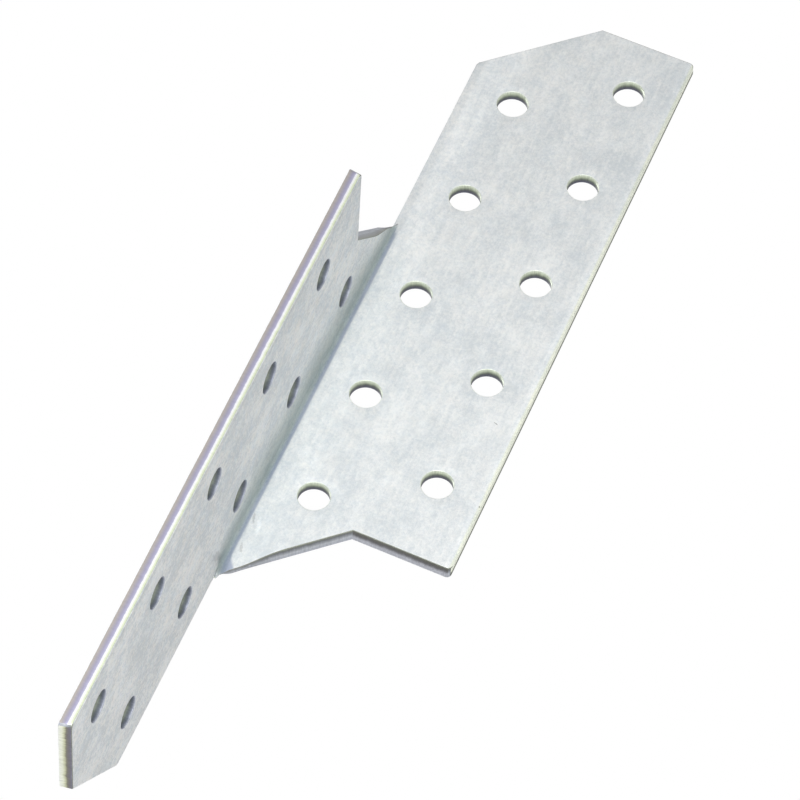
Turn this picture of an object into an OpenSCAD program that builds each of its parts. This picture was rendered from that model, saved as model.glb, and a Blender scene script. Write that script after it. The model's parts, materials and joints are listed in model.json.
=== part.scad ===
// Hurricane tie: a rafter-to-purlin anchor of folded galvanised sheet.
// One flat blank, sheared to length, punched for nails and folded once to a right angle.
// The outer corner of the fold is the Z axis. Leg one lies against the rafter, in the plane
// Y = 0, and reaches up. Leg two lies against the purlin, in the plane X = 0, and reaches down.
// The origin is halfway up the tie, where rafter and purlin cross.
// Leg two is leg one given half a turn about the line between them, so both share one outline.

/* [Sheet] */
// Thickness of the sheet
sheet_t = 2; // [1.5:0.25:3]
// Radius inside the fold
fold_r = 1; // [0.5:0.25:3]

/* [Size] */
// Height of the whole tie, from the point of one leg to the point of the other
tie_h = 170; // [140:5:250]
// Width of each leg, over the outside of the fold
leg_w = 34; // [30:1:50]
// Length of each leg along its free edge
leg_len = 105; // [90:5:130]

/* [Ends] */
// Slope of an end on the side of the fold, in degrees from square
fold_slope = 41.4; // [30:0.1:50]
// Slope of an end on the side of the free edge, in degrees from square
free_slope = 2.5; // [0:0.5:10]
// Rounding of the sheared corners
corner_r = 1; // [0.25:0.25:2]
// Rounding of the notch at each end of the fold
notch_r = 2.5; // [0.5:0.25:3]

/* [Nail holes] */
// Diameter of a nail hole
hole_d = 5; // [4:0.5:7]
// Distance between the holes in a column
hole_pitch = 20.3; // [18:0.1:30]
// How much farther from the end the column beside the fold starts
stagger = 9.3; // [7:0.1:12]
// From the point of an end to the first hole of the column beside the free edge
first_hole = 10.2; // [8:0.1:14]
// From the free edge to the column beside it
free_edge_to_hole = 7.6; // [6:0.1:10]
// From the outside of the fold to the column beside it
fold_to_hole = 10.1; // [8:0.1:12]
// Least distance from the last hole of a column to the inner end of its leg
last_hole = 9; // [7:0.5:14]
// How far all holes sit below their true places, as the strip was fed through the punch
feed_error = 0.6; // [0:0.1:1]

/* [Hidden] */
zinc = [0.76, 0.78, 0.79];
// Straight pieces in each rounded corner of the outline
corner_steps = 6;
// Facets of a round hole and of the fold, which both carry over as true cylinders
round_fn = 96;
// How far a cutting tool reaches past what it cuts
past = 1;

fold_outer_r = fold_r + sheet_t;
// Beyond the ends of the fold a leg stops at the inner face of the other one
tab_u = sheet_t;
// The point of an end is halfway across its leg
point_u = (tab_u + leg_w) / 2;
fold_drop = (point_u - tab_u) * tan(fold_slope);
free_drop = (leg_w - point_u) * tan(free_slope);
// Heights of the points of a leg's outer and inner end, and of the upper end of the fold
outer_v = tie_h / 2;
inner_v = outer_v - leg_len;
fold_v = fold_drop - inner_v;
fold_end_v = fold_v + notch_r;
// Rows of holes that fit on a leg
hole_rows = floor((leg_len - first_hole - last_hole) / hole_pitch) + 1;

function unit(v) = v / norm(v);

// Arc of radius r that rounds the corner b between its neighbours a and c
function round_corner(a, b, c, r) =
    let(
        to_a = unit(a - b),
        to_c = unit(c - b),
        half = acos(to_a * to_c) / 2,
        centre = b + unit(to_a + to_c) * r / sin(half),
        start = b + to_a * r / tan(half) - centre,
        end = b + to_c * r / tan(half) - centre,
        from = atan2(start.y, start.x),
        turn = atan2(start.x * end.y - start.y * end.x, start * end)
    )
    [for (i = [0:corner_steps])
        centre + r * [cos(from + turn * i / corner_steps), sin(from + turn * i / corner_steps)]];

// Outline of a leg: each row holds a corner, across the leg and up it, and its rounding.
// It runs past the fold on the other leg's side, where that leg's own outline takes over.
leg_corners = [
    [[tab_u, outer_v - fold_drop], corner_r],
    [[point_u, outer_v], corner_r],
    [[leg_w, outer_v - free_drop], corner_r],
    [[leg_w, inner_v - free_drop], corner_r],
    [[point_u, inner_v], corner_r],
    [[tab_u, inner_v - fold_drop], 0],
    [[tab_u, -outer_v - past], 0],
    [[-past, -outer_v - past], 0],
    [[-past, fold_v], 0],
    [[tab_u, fold_v], notch_r],
];

function corner(i) = leg_corners[(i + len(leg_corners)) % len(leg_corners)][0];

module leg_outline() {
    polygon([
        for (i = [0:len(leg_corners) - 1])
            let(r = leg_corners[i][1])
            each r > 0 ? round_corner(corner(i - 1), corner(i), corner(i + 1), r) : [corner(i)]
    ]);
}

// Section of the fold, looking down on it
module fold_section() {
    intersection() {
        translate([0, -fold_outer_r])
            square(fold_outer_r);
        translate([fold_outer_r, -fold_outer_r])
            difference() {
                circle(r = fold_outer_r, $fn = round_fn);
                circle(r = fold_r, $fn = round_fn);
            }
    }
}

// The bent strip, which runs out over the rounding of the notches
module fold() {
    linear_extrude(2 * fold_end_v, center = true)
        fold_section();
}

// The flat sheet of leg one before it is sheared. It is wider beyond the fold,
// where the sheet was parted along the fold line and stays flat up to its edge.
module leg_sheet() {
    rotate([90, 0, 0])
        linear_extrude(sheet_t) {
            translate([fold_outer_r, -outer_v])
                square([leg_w - fold_outer_r, tie_h]);
            translate([tab_u, fold_end_v])
                square([leg_w - tab_u, outer_v - fold_end_v]);
        }
}

// Half a turn about the line between the legs, which puts leg one in the place of leg two
module swap_legs() {
    mirror([1, 1, 0])
        mirror([0, 0, 1])
            children();
}

// Stands a flat shape up in the plane of leg one, reaching depth to both sides of it
module on_leg(depth) {
    rotate([90, 0, 0])
        linear_extrude(2 * depth, center = true)
            children();
}

// What the shears take off around a leg
module leg_waste() {
    on_leg(leg_w + past)
        difference() {
            translate([-past, -outer_v - past])
                square([leg_w + 2 * past, tie_h + 2 * past]);
            leg_outline();
        }
}

module hole_column(u, first) {
    for (row = [0:hole_rows - 1])
        translate([u, 0, outer_v - first - row * hole_pitch])
            rotate([90, 0, 0])
                cylinder(h = 2 * (sheet_t + past), d = hole_d, center = true, $fn = round_fn);
}

module leg_holes() {
    hole_column(leg_w - free_edge_to_hole, first_hole);
    hole_column(fold_to_hole, first_hole + stagger);
}

module tie() {
    color(zinc)
        difference() {
            union() {
                fold();
                leg_sheet();
                swap_legs()
                    leg_sheet();
            }
            leg_waste();
            swap_legs()
                leg_waste();
            translate([0, 0, -feed_error]) {
                leg_holes();
                swap_legs()
                    leg_holes();
            }
        }
}

tie();
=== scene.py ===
import json
import math

import bmesh
import bpy
from mathutils import Matrix, Vector


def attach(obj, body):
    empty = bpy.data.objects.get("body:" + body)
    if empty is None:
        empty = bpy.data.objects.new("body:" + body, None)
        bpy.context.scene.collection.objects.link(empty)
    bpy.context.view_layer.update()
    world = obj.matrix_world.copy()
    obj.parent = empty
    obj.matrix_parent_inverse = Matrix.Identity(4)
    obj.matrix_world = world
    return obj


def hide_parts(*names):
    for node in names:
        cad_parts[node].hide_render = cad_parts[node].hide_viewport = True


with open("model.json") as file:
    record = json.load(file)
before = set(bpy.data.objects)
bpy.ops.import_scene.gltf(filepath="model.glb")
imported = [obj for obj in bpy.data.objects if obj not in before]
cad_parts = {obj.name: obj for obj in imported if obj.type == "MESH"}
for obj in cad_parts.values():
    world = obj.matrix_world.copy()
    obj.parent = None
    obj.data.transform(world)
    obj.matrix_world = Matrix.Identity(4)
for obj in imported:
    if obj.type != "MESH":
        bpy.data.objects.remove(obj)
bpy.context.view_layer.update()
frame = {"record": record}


# small helpers for working by place, as one would by hand

def selectNone():
    if bpy.context.mode != "OBJECT":
        bpy.ops.object.mode_set(mode="OBJECT")
    bpy.ops.object.select_all(action="DESELECT")


def useOnly(piece):
    selectNone()
    piece.select_set(True)
    bpy.context.view_layer.objects.active = piece


def startEdit(piece, mode="VERT"):
    useOnly(piece)
    bpy.ops.object.mode_set(mode="EDIT")
    bpy.ops.mesh.select_mode(type=mode)
    bpy.ops.mesh.select_all(action="DESELECT")


def endEdit():
    bpy.ops.object.mode_set(mode="OBJECT")


def pickVerts(piece, test):
    cage = bmesh.from_edit_mesh(piece.data)
    for vert in cage.verts:
        vert.select = bool(test(vert.co))
    cage.select_flush_mode()
    bmesh.update_edit_mesh(piece.data)


def pickEdges(piece, test):
    cage = bmesh.from_edit_mesh(piece.data)
    bpy.ops.mesh.select_all(action="DESELECT")
    count = 0
    for edge in cage.edges:
        if test(edge):
            edge.select_set(True)
            count += 1
    bmesh.update_edit_mesh(piece.data)
    return count


def pickFaces(piece, test):
    cage = bmesh.from_edit_mesh(piece.data)
    bpy.ops.mesh.select_all(action="DESELECT")
    for face in cage.faces:
        if test(face):
            face.select_set(True)
    bmesh.update_edit_mesh(piece.data)


def applyModifier(piece, kind, **values):
    useOnly(piece)
    modifier = piece.modifiers.new(kind.lower(), kind)
    for name, value in values.items():
        setattr(modifier, name, value)
    bpy.ops.object.modifier_apply(modifier=modifier.name)


# the camera comes first

cameraView = {
    "azimuth": 13.22,        # degrees round the tie, 0 looks along +Y
    "elevation": -31.84,     # it looks up at the tie
    "roll": 26.63,
    "distance": 0.72977,
    "aim": (0.01832, -0.01472, -0.00308),
    "lens": 219.45, "sensor": 36,
    "clip": (0.01, 100),
}


def makeCamera():
    azimuth, elevation, roll = (math.radians(cameraView[name]) for name in ("azimuth", "elevation", "roll"))
    back = Vector((math.sin(azimuth) * math.cos(elevation),
                   -math.cos(azimuth) * math.cos(elevation), math.sin(elevation)))
    selectNone()
    bpy.ops.object.camera_add(location=Vector(cameraView["aim"]) + back * cameraView["distance"])
    camera = bpy.context.object
    camera.name = "viewCamera"
    turn = (-back).to_track_quat("-Z", "Y").to_matrix()
    camera.rotation_euler = (turn @ Matrix.Rotation(roll, 3, "Z")).to_euler()
    camera.data.lens = cameraView["lens"]
    camera.data.sensor_width = cameraView["sensor"]
    camera.data.clip_start, camera.data.clip_end = cameraView["clip"]
    bpy.context.scene.camera = camera
    print("camera made")


makeCamera()


# the sheet, in millimetres until it is folded
# while it is flat, X runs across the blank from the fold line, Z along it and Y through it

blank = {
    "thickness": 2.0,
    "foldMiddle": 2.0,        # radius of the fold at mid-thickness
    "legReach": 32.571,       # from the fold line to a free edge, on the flat
    "pointReach": 16.571,     # to the point of an end
    "tabReach": 0.35,         # to the line where the legs were parted
    "pointHeight": 85.0,
    "legLength": 105.0,
    "foldSlope": 41.4,        # degrees
    "freeSlope": 2.5,
    "holeRadius": 2.5,
    "rollOver": 0.16, "rollSteps": 4,      # where the shear and the punch drew the face in
    "exitEdge": 0.08, "exitSteps": 2,
    "drawnIn": 0.28,          # how far the inner side of an end lies behind its outer side
    "notchDrawnIn": 0.38,     # the same at the ends beside a notch
    "pointCorner": 0.8, "freeCorner": 0.8, "foldCorner": 0.5, "notchCorner": 0.85,
    "cornerSteps": 6,
    "notchLow": (0.3, 0.6),   # how far the corner of a notch is set down, the upper and the lower
    "endTilt": 0.4,           # a face that looks along the blank more than this is an end
    "farEnds": (60, 99), "notchEnds": (0, 60), "allEnds": (0, 99),      # where they lie, up or down
}
foldDrop = (blank["pointReach"] - blank["tabReach"]) * math.tan(math.radians(blank["foldSlope"]))
freeDrop = (blank["legReach"] - blank["pointReach"]) * math.tan(math.radians(blank["freeSlope"]))
notchRise = 2 * blank["tabReach"] * math.tan(math.radians(blank["foldSlope"]))
legFoot = blank["pointHeight"] - blank["legLength"]
notchTop = foldDrop - legFoot + notchRise


slack = 0.01                  # two places this close are one place
cutSlack = 0.00001            # and so are two cuts


def near(a, b):
    return abs(a - b) < slack


def makeLegBlank():
    width = blank["legReach"] - blank["tabReach"]
    middle = (blank["legReach"] + blank["tabReach"]) / 2
    selectNone()
    bpy.ops.mesh.primitive_grid_add(
        x_subdivisions=2, y_subdivisions=1, size=1,
        location=(middle, 0, blank["pointHeight"] - blank["legLength"] / 2), rotation=(math.pi / 2, 0, 0))
    leg = bpy.context.object
    leg.scale = (width, blank["legLength"], 1)
    bpy.ops.object.transform_apply(location=True, rotation=True, scale=True)
    startEdit(leg)
    # both ends slope away from the point, steeply towards the fold
    pickVerts(leg, lambda at: near(at.x, blank["tabReach"]))
    bpy.ops.transform.translate(value=(0, 0, -foldDrop))
    pickVerts(leg, lambda at: near(at.x, blank["legReach"]))
    bpy.ops.transform.translate(value=(0, 0, -freeDrop))
    # a corner on the parting line, where the notch will start
    pickEdges(leg, lambda edge: all(near(v.co.x, blank["tabReach"]) for v in edge.verts))
    bpy.ops.mesh.subdivide(number_cuts=1)
    cage = bmesh.from_edit_mesh(leg.data)
    tabEnds = sorted(v.co.z for v in cage.verts if near(v.co.x, blank["tabReach"]))
    pickVerts(leg, lambda at: near(at.x, blank["tabReach"]) and near(at.z, tabEnds[1]))
    bpy.ops.transform.translate(value=(0, 0, notchTop - tabEnds[1]))
    endEdit()
    return leg


def makeBlank():
    legOne = makeLegBlank()
    useOnly(legOne)
    bpy.ops.object.duplicate()
    legTwo = bpy.context.object
    # leg two is leg one given half a turn on the flat
    legTwo.rotation_euler = (0, math.pi, 0)
    bpy.ops.object.transform_apply(location=False, rotation=True, scale=False)
    legTwo.select_set(True)
    legOne.select_set(True)
    bpy.context.view_layer.objects.active = legOne
    bpy.ops.object.join()
    sheet = bpy.context.object
    sheet.name = "tieSheet"
    startEdit(sheet, "EDGE")
    pickEdges(sheet, lambda edge: all(
        near(abs(v.co.x), blank["tabReach"]) and abs(v.co.z) < notchTop + slack for v in edge.verts))
    bpy.ops.mesh.bridge_edge_loops()
    for end, low in zip((1, -1), blank["notchLow"]):
        pickVerts(sheet, lambda at: near(at.x, end * blank["tabReach"]) and near(at.z, end * notchTop))
        bpy.ops.transform.translate(value=(0, 0, -low))
    bpy.ops.mesh.select_all(action="SELECT")
    bpy.ops.mesh.normals_make_consistent(inside=False)
    endEdit()
    return sheet


sheet = makeBlank()
print("blank laid out:", len(sheet.data.vertices), "corners,", len(sheet.data.polygons), "faces")


punchTool = {
    "sides": 64,
    "depth": 4,               # in thicknesses of the sheet
    "strip": 4.6,             # how far past the last hole its strip of sheet ends
    "wallReach": 0.5,         # what lies this close to a hole belongs to its wall
}


def holeCentres():
    # the record's nail patterns, brought back to the flat: across the blank and along it
    centres = set()
    flatten = blank["foldMiddle"] * (math.pi / 4 - 1) - blank["thickness"] / 2
    for mount in frame["record"]["mounts"]:
        if mount["kind"] != "bolt_pattern":
            continue
        x, y, z = (1000 * c for c in mount["pos_m"])
        across = x + flatten if abs(mount["axis"][1]) > 0.5 else y - flatten
        for side in (-0.5, 0.5):
            centres.add((round(across, 3), round(z + side * mount["dims"]["spacing_y_mm"], 3)))
    return sorted(centres)


def punchHoles(sheet):
    centres = holeCentres()
    # a line across each leg between one hole and the next keeps what a punch cuts to its own strip
    strip = punchTool["strip"]
    for side in (1, -1):
        rows = sorted(along for across, along in centres if side * across > 0)
        lines = [(a + b) / 2 for a, b in zip(rows, rows[1:])] + [rows[0] - strip, rows[-1] + strip]
        startEdit(sheet, "FACE")
        for line in lines:
            pickFaces(sheet, lambda face: all(side * v.co.x > blank["tabReach"] - slack for v in face.verts))
            bpy.ops.mesh.bisect(plane_co=(0, 0, line), plane_no=(0, 0, 1), threshold=cutSlack)
        endEdit()
    selectNone()
    punches = []
    for across, along in centres:
        bpy.ops.mesh.primitive_cylinder_add(
            vertices=punchTool["sides"], radius=blank["holeRadius"],
            depth=punchTool["depth"] * blank["thickness"],
            location=(across, 0, along), rotation=(math.pi / 2, 0, 0))
        punches.append(bpy.context.object)
    selectNone()
    for punch in punches:
        punch.select_set(True)
    bpy.context.view_layer.objects.active = punches[0]
    bpy.ops.object.transform_apply(location=True, rotation=True, scale=True)
    bpy.ops.object.join()
    punch = bpy.context.object
    applyModifier(sheet, "BOOLEAN", object=punch, operation="DIFFERENCE", solver="EXACT")
    useOnly(punch)
    bpy.ops.object.delete()
    return centres


def shearSheet(sheet):
    half = blank["thickness"] / 2
    startEdit(sheet, "FACE")
    bpy.ops.mesh.select_all(action="SELECT")
    bpy.ops.mesh.extrude_region_move(TRANSFORM_OT_translate={"value": (0, blank["thickness"], 0)})
    bpy.ops.mesh.select_all(action="SELECT")
    bpy.ops.transform.translate(value=(0, -half, 0))
    bpy.ops.mesh.normals_make_consistent(inside=False)
    # both ends broke away at a slant, which leaves their inner side a little shorter
    bpy.ops.mesh.select_mode(type="EDGE")
    for (low, high), size in ((blank["farEnds"], blank["drawnIn"]), (blank["notchEnds"], blank["notchDrawnIn"])):
        for end in (1, -1):
            pickEdges(sheet, lambda edge: all(
                near(v.co.y, -half) and low < abs(v.co.z) < high for v in edge.verts)
                and any(end * face.normal.z > blank["endTilt"] for face in edge.link_faces))
            bpy.ops.transform.translate(value=(0, 0, -end * size))
    # the sheared corners: the points, the free edges, the fold's side of an end, and the notches
    for reach, ends, corner in (
            ("pointReach", "allEnds", "pointCorner"), ("legReach", "allEnds", "freeCorner"),
            ("tabReach", "farEnds", "foldCorner"), ("tabReach", "notchEnds", "notchCorner")):
        low, high = blank[ends]
        bpy.ops.mesh.select_mode(type="EDGE")
        pickEdges(sheet, lambda edge: all(
            near(abs(v.co.x), blank[reach]) and low < abs(v.co.z) < high for v in edge.verts)
            and near(abs(edge.verts[0].co.y - edge.verts[1].co.y), blank["thickness"])
            and not any(near(abs(v.co.z), notchTop - notchRise) for v in edge.verts))
        bpy.ops.mesh.bevel(offset=blank[corner], offset_type="OFFSET", segments=blank["cornerSteps"],
                           affect="EDGES")
    endEdit()


def inHole(at):
    reach = blank["holeRadius"] + punchTool["wallReach"]
    return any(math.hypot(at.x - across, at.z - along) < reach for across, along in holes)


def isRim(edge, y):
    if not all(near(v.co.y, y) for v in edge.verts) or len(edge.link_faces) != 2:
        return False
    # one of its two faces stands and the other lies flat
    flat = sorted(abs(face.normal.y) for face in edge.link_faces)
    return flat[0] < 0.2 and flat[1] > 0.8


def easeEdges(sheet):
    half = blank["thickness"] / 2
    startEdit(sheet, "EDGE")
    # the tools came from the inner side and drew its edges in, and left the outer side sharp
    for y, size, steps in ((-half, blank["rollOver"], blank["rollSteps"]),
                           (half, blank["exitEdge"], blank["exitSteps"])):
        bpy.ops.mesh.select_mode(type="EDGE")
        count = pickEdges(sheet, lambda edge: isRim(edge, y))
        bpy.ops.mesh.bevel(offset=size, offset_type="OFFSET", segments=steps, affect="EDGES",
                           clamp_overlap=False)
        print("eased", count, "edges by", size)
    endEdit()


shearSheet(sheet)
holes = punchHoles(sheet)
print("punched", len(holes), "holes")
easeEdges(sheet)


# lines across the fold and along it, so that it can bend

press = {
    "bendSteps": 14,          # across the fold
    "flankReach": 9.0,        # how far beside the fold the sheet still gives
    "flankSteps": 12, "flankGrow": 1.4,    # each step is wider than the last
    "rowPitch": 0.9, "rows": 46,           # along it, on each side of the middle
    "finePitch": 0.3, "fineRows": 16, "fineFrom": 31.8,      # and closer near its ends
    "rowShift": 0.013, "fineShift": 0.007,      # so that no row falls on a corner
    "flareFrom": 30.0,        # from here to its ends the fold opens
    "flareTo": 36.0,
    "flare": (0.3, 1.4),      # added to its radius, at the upper end and the lower
    "curlFrom": -4.0,         # beside a notch the fold gives way to the flat leg, from here
    "curlFade": (0.5, 3.5),   # over this length, at the fold line and beside it
    "curlReach": (1.0, 2.0),
    "squeeze": 1.2,           # how far the inner side was pressed out at the ends of the fold
    "squeezeFrom": 9.0, "squeezeTo": 3.5, "squeezeRise": 24.0, "squeezeTop": 32.0,
}
bendReach = blank["foldMiddle"] * math.pi / 4


def scoreFold(sheet):
    lines = [bendReach * (2 * step / press["bendSteps"] - 1) for step in range(press["bendSteps"] + 1)]
    for step in range(1, press["flankSteps"] + 1):
        out = bendReach + (press["flankReach"] - bendReach) * (
            step / press["flankSteps"]) ** press["flankGrow"]
        lines += [out, -out]
    startEdit(sheet, "FACE")
    for at in lines:
        pickFaces(sheet, lambda face: min(abs(v.co.x) for v in face.verts) < press["flankReach"] + slack
                  or min(v.co.x for v in face.verts) * max(v.co.x for v in face.verts) < 0)
        bpy.ops.mesh.bisect(plane_co=(at, 0, 0), plane_no=(1, 0, 0), threshold=cutSlack)
    rows = [row * press["rowPitch"] + press["rowShift"] for row in range(-press["rows"], press["rows"] + 1)]
    rows += [side * (press["fineFrom"] + press["finePitch"] * step) + press["fineShift"]
             for side in (1, -1) for step in range(press["fineRows"])]
    for at in rows:
        pickFaces(sheet, lambda face: max(abs(v.co.x) for v in face.verts) < press["flankReach"] + slack)
        bpy.ops.mesh.bisect(plane_co=(0, 0, at), plane_no=(0, 0, 1), threshold=cutSlack)
    endEdit()
    print("scored, now", len(sheet.data.polygons), "faces")


def smooth(low, high, value):
    t = max(0.0, min(1.0, (value - low) / (high - low)))
    return t * t * (3 - 2 * t)


def foldPoint(across, through, along):
    # leg one lies on the positive side of the fold line and ends in the plane Y = 0, leg two in X = 0
    side = 1 if across >= 0 else -1
    end = 0 if along >= 0 else 1
    reach, half = abs(across), blank["thickness"] / 2
    # at a notch the fold gives way to the flat leg, earlier the further from the fold line
    beside = smooth(0, press["curlReach"][end], reach)
    start = press["curlFrom"] * beside
    fade = press["curlFade"][0] * (1 - beside) + press["curlFade"][1] * beside
    hold = 1 - smooth(start, start + fade, side * along - notchTop)
    opened = press["flare"][end] * smooth(press["flareFrom"], press["flareTo"], abs(along)) * hold
    radius = blank["foldMiddle"] + opened
    reach -= (1 - math.pi / 4) * opened * smooth(0, press["flankReach"], reach)
    inward = radius * math.pi / 4 - reach
    pressed = press["squeeze"] * smooth(press["squeezeFrom"], press["squeezeTo"], abs(across)) * smooth(
        press["squeezeRise"], press["squeezeTop"], abs(along)) * hold * max(0.0, -through / half)
    along += math.copysign(pressed, along)
    curve = max(hold, 1e-6) / radius      # never quite flat, so that it can be divided by
    turn = curve * max(0.0, inward)
    u = half + radius + max(0.0, -inward) - math.sin(turn) / curve - through * math.sin(turn)
    w = half + (1 - math.cos(turn)) / curve - through * math.cos(turn)
    return (u, -w, along) if side > 0 else (w, -u, along)


def foldSheet(sheet):
    place = sheet.data.attributes.new("blankPlace", "FLOAT_VECTOR", "POINT")
    for i, vert in enumerate(sheet.data.vertices):
        across, through, along = vert.co
        place.data[i].vector = (across, through, along)
        vert.co = Vector(foldPoint(across, through, along)) / 1000
    sheet.data.update()


scoreFold(sheet)


# which finish each face takes, sorted while the sheet is still flat
finishSlots = ("galvanisedZinc", "endCut", "notchCut", "slopeCut",
               "longCutOne", "longCutTwo", "boreCutOne", "boreCutTwo")
# how squarely a face looks along an axis, from 0 to 1
faceTilt = {"square": 0.9, "rolled": 0.35, "level": 0.1}


def slotFor(face):
    normal, centre = face.normal, face.center
    # a long edge is zinc over most of its rolled rim, and the rims of ends and holes belong to the cut
    longEdge = abs(normal.z) < faceTilt["level"] and not inHole(centre)
    if abs(normal.y) > faceTilt["rolled" if longEdge else "square"]:
        return 0
    if inHole(centre):
        return 6 if centre.x > 0 else 7
    if abs(normal.x) > faceTilt["square"]:
        return 4 if centre.x > 0 else 5
    if abs(normal.z) < faceTilt["square"]:
        return 3
    return 1 if math.copysign(centre.z, centre.x * centre.z) > blank["farEnds"][0] else 2


for name in finishSlots:
    sheet.data.materials.append(bpy.data.materials.new(name))
for face in sheet.data.polygons:
    face.material_index = slotFor(face)
foldSheet(sheet)


folded = {
    "mergeWithin": 0.0000005,      # metres
    "smoothAngle": 38,             # degrees
    "faceWeight": 60,
}


def finishSheet(sheet):
    startEdit(sheet)
    bpy.ops.mesh.select_all(action="SELECT")
    bpy.ops.mesh.remove_doubles(threshold=folded["mergeWithin"])
    bpy.ops.mesh.normals_make_consistent(inside=False)
    endEdit()
    bpy.ops.object.shade_smooth_by_angle(angle=math.radians(folded["smoothAngle"]))
    applyModifier(sheet, "WEIGHTED_NORMAL", keep_sharp=True, weight=folded["faceWeight"])


finishSheet(sheet)
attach(sheet, "root")
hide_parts("tie")
print("folded,", len(sheet.data.polygons), "faces")


# finishes, all drawn on the flat blank's own places: across it, through it and along it, in millimetres

def startFinish(name):
    finish = bpy.data.materials[name]
    finish.use_nodes = True
    finish.node_tree.nodes.clear()
    return finish.node_tree


def addNode(tree, kind, inputs=None, **values):
    node = tree.nodes.new(kind)
    for name, value in values.items():
        setattr(node, name, value)
    for name, value in (inputs or {}).items():
        if isinstance(value, bpy.types.NodeSocket):
            tree.links.new(value, node.inputs[name])
        else:
            node.inputs[name].default_value = value
    return node


def addMath(tree, operation, first, second=0.0, third=0.0):
    return addNode(tree, "ShaderNodeMath", {0: first, 1: second, 2: third}, operation=operation).outputs[0]


def addNoise(tree, place, size, detail=2.0, rough=0.5, stretch=(1, 1, 1), shift=0.0):
    # size in millimetres
    at = addNode(tree, "ShaderNodeVectorMath", {0: place, 1: stretch, 2: (shift, shift, shift)},
                 operation="MULTIPLY_ADD")
    return addNode(tree, "ShaderNodeTexNoise", {
        "Vector": at.outputs[0], "Scale": 1 / size, "Detail": detail, "Roughness": rough}).outputs["Fac"]


def addRange(tree, value, low, high, toLow=0.0, toHigh=1.0, kind="LINEAR"):
    return addNode(tree, "ShaderNodeMapRange", {
        "Value": value, "From Min": low, "From Max": high, "To Min": toLow, "To Max": toHigh},
        interpolation_type=kind).outputs["Result"]


def screenColour(red, green, blue):
    # a colour as a screen shows it, made linear
    return tuple((c / 255 / 12.92 if c < 10.3 else ((c / 255 + 0.055) / 1.055) ** 2.4)
                 for c in (red, green, blue)) + (1,)


def addRamp(tree, value, stops):
    node = addNode(tree, "ShaderNodeValToRGB", {"Fac": value})
    ramp = node.color_ramp
    while len(ramp.elements) < len(stops):
        ramp.elements.new(0.5)
    for element, (at, colour) in zip(ramp.elements, stops):
        element.position, element.color = at, screenColour(*colour)
    return node.outputs["Color"]


def addMix(tree, factor, first, second, blend="MIX"):
    node = addNode(tree, "ShaderNodeMix", {0: factor}, data_type="RGBA", blend_type=blend)
    for socket, value in ((node.inputs[6], first), (node.inputs[7], second)):
        if isinstance(value, bpy.types.NodeSocket):
            tree.links.new(value, socket)
        else:
            socket.default_value = value
    return node.outputs[2]


zincLook = {
    "dark": (208, 214, 217),      # between these two the mottling plays
    "light": (238, 240, 239),
    "metallic": 0.16,
    "rough": (0.4, 0.6, 0.66, 0.56),
    "cloud": (5.2, 3.6), "streak": 0.9, "grain": (4.6, 1.9),      # how strong on leg two, and on leg one
    # each pattern's size, detail, roughness, stretch and place in the noise
    "cloudNoise": (9.0, 7, 0.92, (1, 1, 0.7)),
    "streakNoise": (1.0, 3, 0.6, (1.4, 1, 0.12), 40),
    "grainNoise": (0.4, 3, 0.85, (1, 1, 1), 90),
    # its strays of colour: size, place in the noise, and share of red, green and blue
    "tints": ((2.4, 15, (1, 0, -1)), (1.1, 63, (0, 0.5, 0))),
    "tint": (0.048, 0.018),       # how far the mottling strays to warm and to cold
    "inner": (-0.6, 0.0),         # through the sheet, where its inner side ends
    # the painted shade beside the fold: where it lies, how wide it is, and its colours
    "creaseSpan": (20, 34), "creaseReach": (12.0, 4.5),           # up and down, and how wide it is there
    "creaseEnds": (32.8, 35.2),
    "creaseLegOne": (1.05, 1.75), "openSpan": (-29.5, -33.0), "openWidth": 1.7,
    # colours of the painted shade across the fold: grey-green on leg two, blue-grey on the fold's leg-one half
    "creaseShadeColours": ((0.0, (183, 192, 189)), (0.62, (180, 190, 189)), (0.78, (170, 179, 194)),
                      (1.0, (196, 202, 220))),
    "creaseWidth": (-4, 2),
    "rimReach": 1.3,              # the punch drew the face in this far round a hole
    # how far the painted light near the fold and the free edges reaches, and how strong it is
    "edgeReach": 2.0, "edgeInset": 0.3, "creamSpan": (0.6, 0.2),
    "foldPaintedLight": 0.115, "edgePaintedLight": 0.085, "edgeDarker": -0.11, "edgeCream": 0.16,
    "liftFrom": (1.2, 2.2), "liftTo": (4.0, 10.0),
    "fineBump": (0.35, 0.00003), "dishBump": (1.0, 0.0001),
}

# marks on its inner side, some that handling left, and at the fold's lower end a painted shade and a painted
# highlight where the sheet turns:
# place across and along, half its length and width, turn, and how light or dark it is
marks = {
    "scratch": (29.0, 6.8, 0.42, 0.10, 20, 0.45),
    "nick": (32.3, -8.2, 0.32, 0.14, 60, 0.55),
    # darker and lighter spots beside the fold
    "darkSpotOne": (1.9, -23.5, 0.9, 0.22, 75, 0.75),
    "darkSpotTwo": (2.3, -28.4, 0.8, 0.25, 65, 0.78),
    "lightSpot": (3.1, -24.6, 1.6, 0.35, 80, 1.14),
    # painted highlight where the sheet turns at the fold's lower end
    "foldEndHighlight": (5.7, -30.0, 1.5, 0.30, 40, 1.10),
    "burr": (-23.1, -54.7, 0.55, 0.22, 70, 1.16),
    "smudge": (10.5, -14.5, 2.6, 1.8, 30, 1.05),
    # painted shade where the sheet turns at the fold's lower end
    "foldEndShade": (-4.2, -34.0, 3.0, 1.1, -39, 0.76),
    "foldEndShadeTwo": (-2.1, -32.2, 1.1, 0.8, -60, 0.88),
}


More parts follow.
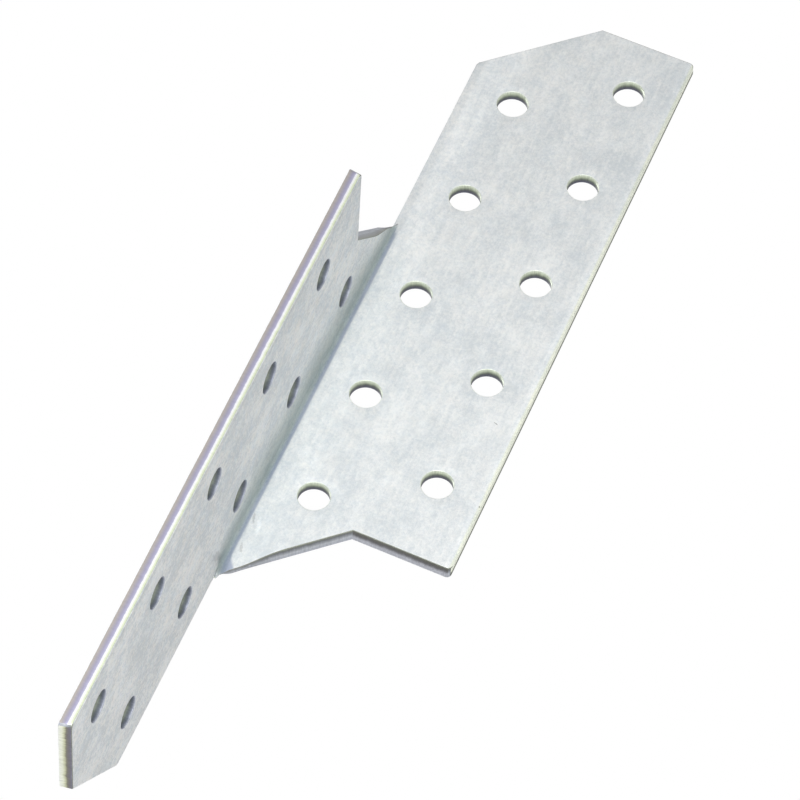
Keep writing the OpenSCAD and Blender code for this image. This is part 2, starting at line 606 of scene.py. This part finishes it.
def creaseShade(tree, axes):
    # painted shade: leg two is darker beside the fold, where leg one stands over it, less far out towards the
    # notches
    reach = addRange(tree, addMath(tree, "ABSOLUTE", axes[2]), *zincLook["creaseSpan"], *zincLook["creaseReach"])
    away = addMath(tree, "DIVIDE", addMath(tree, "MULTIPLY_ADD", axes[0], -1, -1), reach)
    shade = addRange(tree, away, 0.0, 1.0, 1.0, 0.0, "SMOOTHSTEP")
    ends = addRange(tree, addMath(tree, "ABSOLUTE", axes[2]), *zincLook["creaseEnds"], 1.0, 0.0, "SMOOTHSTEP")
    # painted shade on the fold's leg-one half too, reaching further onto leg one where the fold opens at its
    # lower end
    opens = addRange(tree, axes[2], *zincLook["openSpan"], 0.0, zincLook["openWidth"], "SMOOTHSTEP")
    legOne = addRange(tree, addMath(tree, "SUBTRACT", axes[0], opens), *zincLook["creaseLegOne"],
                      1.0, 0.0, "SMOOTHSTEP")
    return addMath(tree, "MULTIPLY", addMath(tree, "MULTIPLY", shade, ends), legOne)


def edgeShade(tree, axes):
    # painted light: leg one is lighter beside the fold and along its free edge; leg two is made darker along its
    # own free edge
    foldSide = addMath(
        tree, "MULTIPLY", addRange(tree, axes[0], *zincLook["liftFrom"], 0, zincLook["foldPaintedLight"], "SMOOTHSTEP"),
        addRange(tree, axes[0], *zincLook["liftTo"], 1, 0, "SMOOTHSTEP"))
    start, end = (blank["legReach"] - zincLook[name] for name in ("edgeReach", "edgeInset"))
    freeOne = addRange(tree, axes[0], start, end, 0, zincLook["edgePaintedLight"], "SMOOTHSTEP")
    freeTwo = addRange(tree, axes[0], -start, -end, 0, zincLook["edgeDarker"], "SMOOTHSTEP")
    return addMath(tree, "ADD", addMath(tree, "ADD", foldSide, freeOne), freeTwo)


def rimFall(tree, place):
    # 1 at a punched rim, 0 away from it
    nearest = None
    flat = addNode(tree, "ShaderNodeVectorMath", {0: place, 1: (1, 0, 1)}, operation="MULTIPLY").outputs[0]
    for across, along in holes:
        away = addNode(tree, "ShaderNodeVectorMath", {0: flat, 1: (across, 0, along)}, operation="DISTANCE")
        away = away.outputs["Value"]
        nearest = away if nearest is None else addMath(tree, "MINIMUM", nearest, away)
    return addRange(tree, nearest, blank["holeRadius"], blank["holeRadius"] + zincLook["rimReach"],
                    1, 0, "SMOOTHSTEP")


markEdge = {"noise": (0.5, 3, 0.7), "ragged": 2.0, "fade": (0.6, 1.1)}


def addMark(tree, place, inner, colour, mark):
    across, along, length, width, turn, tone = mark
    at = addNode(tree, "ShaderNodeMapping", {
        "Vector": place, "Location": (across, 0, along), "Rotation": (0, math.radians(turn), 0),
        "Scale": (length, 1, width)}, vector_type="TEXTURE").outputs[0]
    at = addNode(tree, "ShaderNodeVectorMath", {0: at, 1: (1, 0, 1)}, operation="MULTIPLY").outputs[0]
    ragged = addNoise(tree, place, *markEdge["noise"], shift=across)
    away = addNode(tree, "ShaderNodeVectorMath", {0: at}, operation="LENGTH").outputs["Value"]
    away = addMath(tree, "MULTIPLY_ADD", addMath(tree, "SUBTRACT", ragged, 0.5), markEdge["ragged"], away)
    share = addMath(tree, "MULTIPLY", addRange(tree, away, *markEdge["fade"], 1, 0), inner)
    return addMix(tree, share, colour, addMix(tree, 1.0, colour, (tone, tone, tone, 1), "MULTIPLY"))


def byLeg(tree, axes, name):
    return addRange(tree, axes[0], -1, 1, *zincLook[name])


def makeZinc():
    tree = startFinish("galvanisedZinc")
    place = addNode(tree, "ShaderNodeAttribute", attribute_name="blankPlace").outputs["Vector"]
    axes = addNode(tree, "ShaderNodeSeparateXYZ", {0: place}).outputs
    cloud, streak, grain = (addNoise(tree, place, *zincLook[name])
                            for name in ("cloudNoise", "streakNoise", "grainNoise"))
    tone = 0.5
    for noise, strength in ((cloud, byLeg(tree, axes, "cloud")), (streak, zincLook["streak"]),
                            (grain, byLeg(tree, axes, "grain"))):
        tone = addMath(tree, "MULTIPLY_ADD", addMath(tree, "SUBTRACT", noise, 0.5), strength, tone)
    colour = addMix(tree, tone, screenColour(*zincLook["dark"]), screenColour(*zincLook["light"]))
    inner = addRange(tree, axes[1], *zincLook["inner"], 1.0, 0.0)
    # painted shade beside the fold, on the inner side only
    crease = addMath(tree, "MULTIPLY", creaseShade(tree, axes), inner)
    shades = addRamp(tree, addRange(tree, axes[0], *zincLook["creaseWidth"]), zincLook["creaseShadeColours"])
    colour = addMix(tree, crease, colour, shades, "MULTIPLY")
    # painted light beside the fold and along leg one's free edge, darker along leg two's, on the inner side only
    lift = addMath(tree, "MULTIPLY_ADD", edgeShade(tree, axes), inner, 1.0)
    start, end = (blank["legReach"] - inset for inset in zincLook["creamSpan"])
    cream = addMath(tree, "MULTIPLY", addRange(
        tree, axes[0], start, end, 0, zincLook["edgeCream"], "SMOOTHSTEP"), inner)
    lift = addNode(tree, "ShaderNodeCombineColor", {0: lift, 1: lift, 2: addMath(tree, "SUBTRACT", lift, cream)})
    colour = addMix(tree, 1.0, colour, lift.outputs[0], "MULTIPLY")
    stray = byLeg(tree, axes, "tint")
    for size, shift, share in zincLook["tints"]:
        tint = addRange(tree, addNoise(tree, place, size, 6, 0.9, shift=shift), 0.3, 0.7, -1, 1)
        tint = addMath(tree, "MULTIPLY", tint, stray)
        tint = addNode(tree, "ShaderNodeVectorMath", {0: share, "Scale": tint}, operation="SCALE").outputs[0]
        tint = addNode(tree, "ShaderNodeVectorMath", {0: tint, 1: (1, 1, 1)}, operation="ADD").outputs[0]
        colour = addMix(tree, 1.0, colour, tint, "MULTIPLY")
    for mark in marks.values():
        colour = addMark(tree, place, inner, colour, mark)
    fine = addNode(tree, "ShaderNodeBump", {
        "Strength": zincLook["fineBump"][0], "Distance": zincLook["fineBump"][1],
        "Height": addMath(tree, "ADD", grain, cloud)})
    dished = addNode(tree, "ShaderNodeBump", {
        "Strength": zincLook["dishBump"][0], "Distance": zincLook["dishBump"][1],
        "Height": addMath(tree, "MULTIPLY", rimFall(tree, place), -1.0), "Normal": fine.outputs["Normal"]})
    rough = addRange(tree, cloud, *zincLook["rough"])
    shader = addNode(tree, "ShaderNodeBsdfPrincipled", {
        "Base Color": colour, "Metallic": zincLook["metallic"], "Roughness": rough,
        "Normal": dished.outputs["Normal"]})
    addNode(tree, "ShaderNodeOutputMaterial", {"Surface": shader.outputs["BSDF"]})


# cut faces, from the side where the blade or punch came in (0) to where the sheet broke away (1)
# each way a cut face looks has its own copy of the cut's real bands, made lighter or darker with painted light
# and shade, and with a painted reflection in its burnished band
cutLooks = {
    "endCut": ((0.0, (146, 146, 160)), (0.1, (112, 111, 124)), (0.28, (114, 110, 114)),
               (0.42, (128, 126, 110)), (0.54, (202, 204, 172)), (0.72, (236, 239, 220)),
               (1.0, (242, 245, 238))),
    "notchCut": ((0.0, (98, 99, 90)), (0.28, (88, 88, 86)), (0.42, (104, 104, 108)),
                 (0.54, (150, 151, 157)), (0.68, (178, 180, 188)), (0.85, (172, 174, 182)),
                 (1.0, (198, 200, 206))),
    "slopeCut": ((0.0, (128, 132, 120)), (0.2, (108, 111, 112)), (0.4, (142, 146, 152)),
                 (0.62, (186, 190, 196)), (0.8, (174, 178, 186)), (1.0, (178, 181, 191))),
    "longCutOne": ((0.0, (250, 254, 238)), (0.42, (248, 252, 232)), (0.54, (218, 223, 204)),
                   (0.66, (112, 117, 104)), (1.0, (86, 90, 82))),
    "longCutTwo": ((0.0, (150, 156, 142)), (0.05, (168, 175, 152)), (0.1, (214, 222, 194)),
                   (0.21, (228, 234, 214)), (0.26, (244, 246, 242)), (0.37, (238, 239, 245)),
                   (0.43, (174, 172, 198)), (0.6, (160, 157, 180)), (0.78, (170, 165, 168)),
                   (1.0, (180, 172, 162))),
    "boreCutOne": ((0.0, (222, 229, 216)), (0.2, (204, 213, 190)), (0.36, (176, 186, 164)),
                   (0.52, (128, 136, 122)), (0.68, (90, 94, 97)), (0.84, (88, 91, 104)),
                   (1.0, (104, 107, 126))),
    "boreCutTwo": ((0.0, (180, 184, 196)), (0.1, (150, 156, 170)), (0.2, (118, 124, 138)),
                   (0.35, (112, 119, 120)), (0.5, (134, 141, 130)), (1.0, (160, 165, 152))),
}


cutGrain = {
    "raggedNoise": (0.9, 4, 0.7, (1, 0.15, 1), 7),
    "dragNoise": (0.22, 2, 0.6, (1, 0.12, 1), 21),      # marks the tool drew across the face
    "longUneven": 0.12, "uneven": 0.32,                 # a long cut is cleaner than a punched one
    "dragDark": 0.45, "dragLight": 0.38,
    "metallic": 0.3, "rough": (0.3, 0.55, 0.38, 0.6),
    "bump": (0.5, 0.00005), "bumpFade": (0.3, 0.6, 0.3, 1.0),
}


def makeCut(name):
    tree = startFinish(name)
    place = addNode(tree, "ShaderNodeAttribute", attribute_name="blankPlace").outputs["Vector"]
    depth = addNode(tree, "ShaderNodeSeparateXYZ", {0: place}).outputs[1]
    ragged, drag = (addNoise(tree, place, *cutGrain[kind]) for kind in ("raggedNoise", "dragNoise"))
    at = addMath(tree, "MULTIPLY_ADD", depth, 0.5, 0.5)
    uneven = cutGrain["longUneven" if name.startswith("long") else "uneven"]
    at = addMath(tree, "MULTIPLY_ADD", addMath(tree, "SUBTRACT", ragged, 0.5), uneven, at)
    colour = addRamp(tree, at, cutLooks[name])
    tone = addRange(tree, drag, 0.3, 0.7, 1 - cutGrain["dragDark"] * uneven, 1 + cutGrain["dragLight"] * uneven)
    tone = addNode(tree, "ShaderNodeCombineColor", {0: tone, 1: tone, 2: tone}).outputs[0]
    colour = addMix(tree, 1.0, colour, tone, "MULTIPLY")
    height = addMath(tree, "MULTIPLY", addMath(tree, "ADD", drag, ragged),
                     addRange(tree, at, *cutGrain["bumpFade"]))
    bump = addNode(tree, "ShaderNodeBump", {
        "Strength": cutGrain["bump"][0], "Distance": cutGrain["bump"][1], "Height": height})
    shader = addNode(tree, "ShaderNodeBsdfPrincipled", {
        "Base Color": colour, "Metallic": cutGrain["metallic"],
        "Roughness": addRange(tree, at, *cutGrain["rough"]), "Normal": bump.outputs["Normal"]})
    addNode(tree, "ShaderNodeOutputMaterial", {"Surface": shader.outputs["BSDF"]})


makeZinc()
for name in finishSlots[1:]:
    makeCut(name)
print("finishes made")


# the room

studio = {
    "floorHeight": -0.62, "floorSize": 60,
    "floorColour": (0.82, 0.82, 0.83),
    "floorGlow": 0.82,
    "floorFaint": 0.3,        # the matt share of what is seen of the floor, which can take a shadow
    "roomLight": 0.36,
}


def addSeen(tree):
    # 1 for what the camera, a gloss or a clear piece looks at directly
    path = addNode(tree, "ShaderNodeLightPath").outputs
    seen = addMath(tree, "MAXIMUM", path["Is Camera Ray"], path["Is Glossy Ray"])
    return addMath(tree, "MAXIMUM", seen, path["Is Transmission Ray"])


def makeRoom():
    selectNone()
    bpy.ops.mesh.primitive_plane_add(size=studio["floorSize"], location=(0, 0, studio["floorHeight"]))
    floor = bpy.context.object
    floor.name = "floor"
    floor.data.materials.append(bpy.data.materials.new("paleFloor"))
    tree = startFinish("paleFloor")
    seen = addSeen(tree)
    matt = addNode(tree, "ShaderNodeBsdfDiffuse", {"Color": (*studio["floorColour"], 1)})
    glow = addNode(tree, "ShaderNodeEmission", {"Color": (1, 1, 1, 1), "Strength": studio["floorGlow"]})
    faint = addNode(tree, "ShaderNodeBsdfDiffuse", {"Color": (*[studio["floorFaint"]] * 3, 1)})
    bright = addNode(tree, "ShaderNodeAddShader", {0: glow.outputs[0], 1: faint.outputs[0]})
    mix = addNode(tree, "ShaderNodeMixShader", {0: seen, 1: matt.outputs[0], 2: bright.outputs[0]})
    addNode(tree, "ShaderNodeOutputMaterial", {"Surface": mix.outputs[0]})

    world = bpy.data.worlds.new("paleRoom")
    bpy.context.scene.world = world
    world.use_nodes = True
    tree = world.node_tree
    tree.nodes.clear()
    light = addNode(tree, "ShaderNodeBackground", {"Color": (1, 1, 1, 1), "Strength": studio["roomLight"]})
    white = addNode(tree, "ShaderNodeBackground", {"Color": (1, 1, 1, 1), "Strength": 1.0})
    mix = addNode(tree, "ShaderNodeMixShader", {0: addSeen(tree), 1: light.outputs[0], 2: white.outputs[0]})
    addNode(tree, "ShaderNodeOutputWorld", {"Surface": mix.outputs[0]})


def addLamp(name, place, size, power):
    bpy.ops.object.light_add(type="AREA", location=place)
    lamp = bpy.context.object
    lamp.name = name
    lamp.rotation_euler = (-Vector(place)).to_track_quat("-Z", "Y").to_euler()
    lamp.data.shape, lamp.data.size, lamp.data.energy = "DISK", size, power
    lamp.visible_camera = False


lamps = {
    "keyLamp": {"place": (0.09, -0.27, -0.195), "size": 0.40, "power": 1.23},
    "fillLamp": {"place": (0.6, -0.35, -0.05), "size": 0.4, "power": 0.03},
    "backLamp": {"place": (-0.8, 0.8, 0.5), "size": 1.0, "power": 6.0},
}

makeRoom()
for name, lamp in lamps.items():
    addLamp(name, **lamp)
print("lit by", len(lamps), "lamps")

bpy.context.scene.view_settings.view_transform = "Standard"
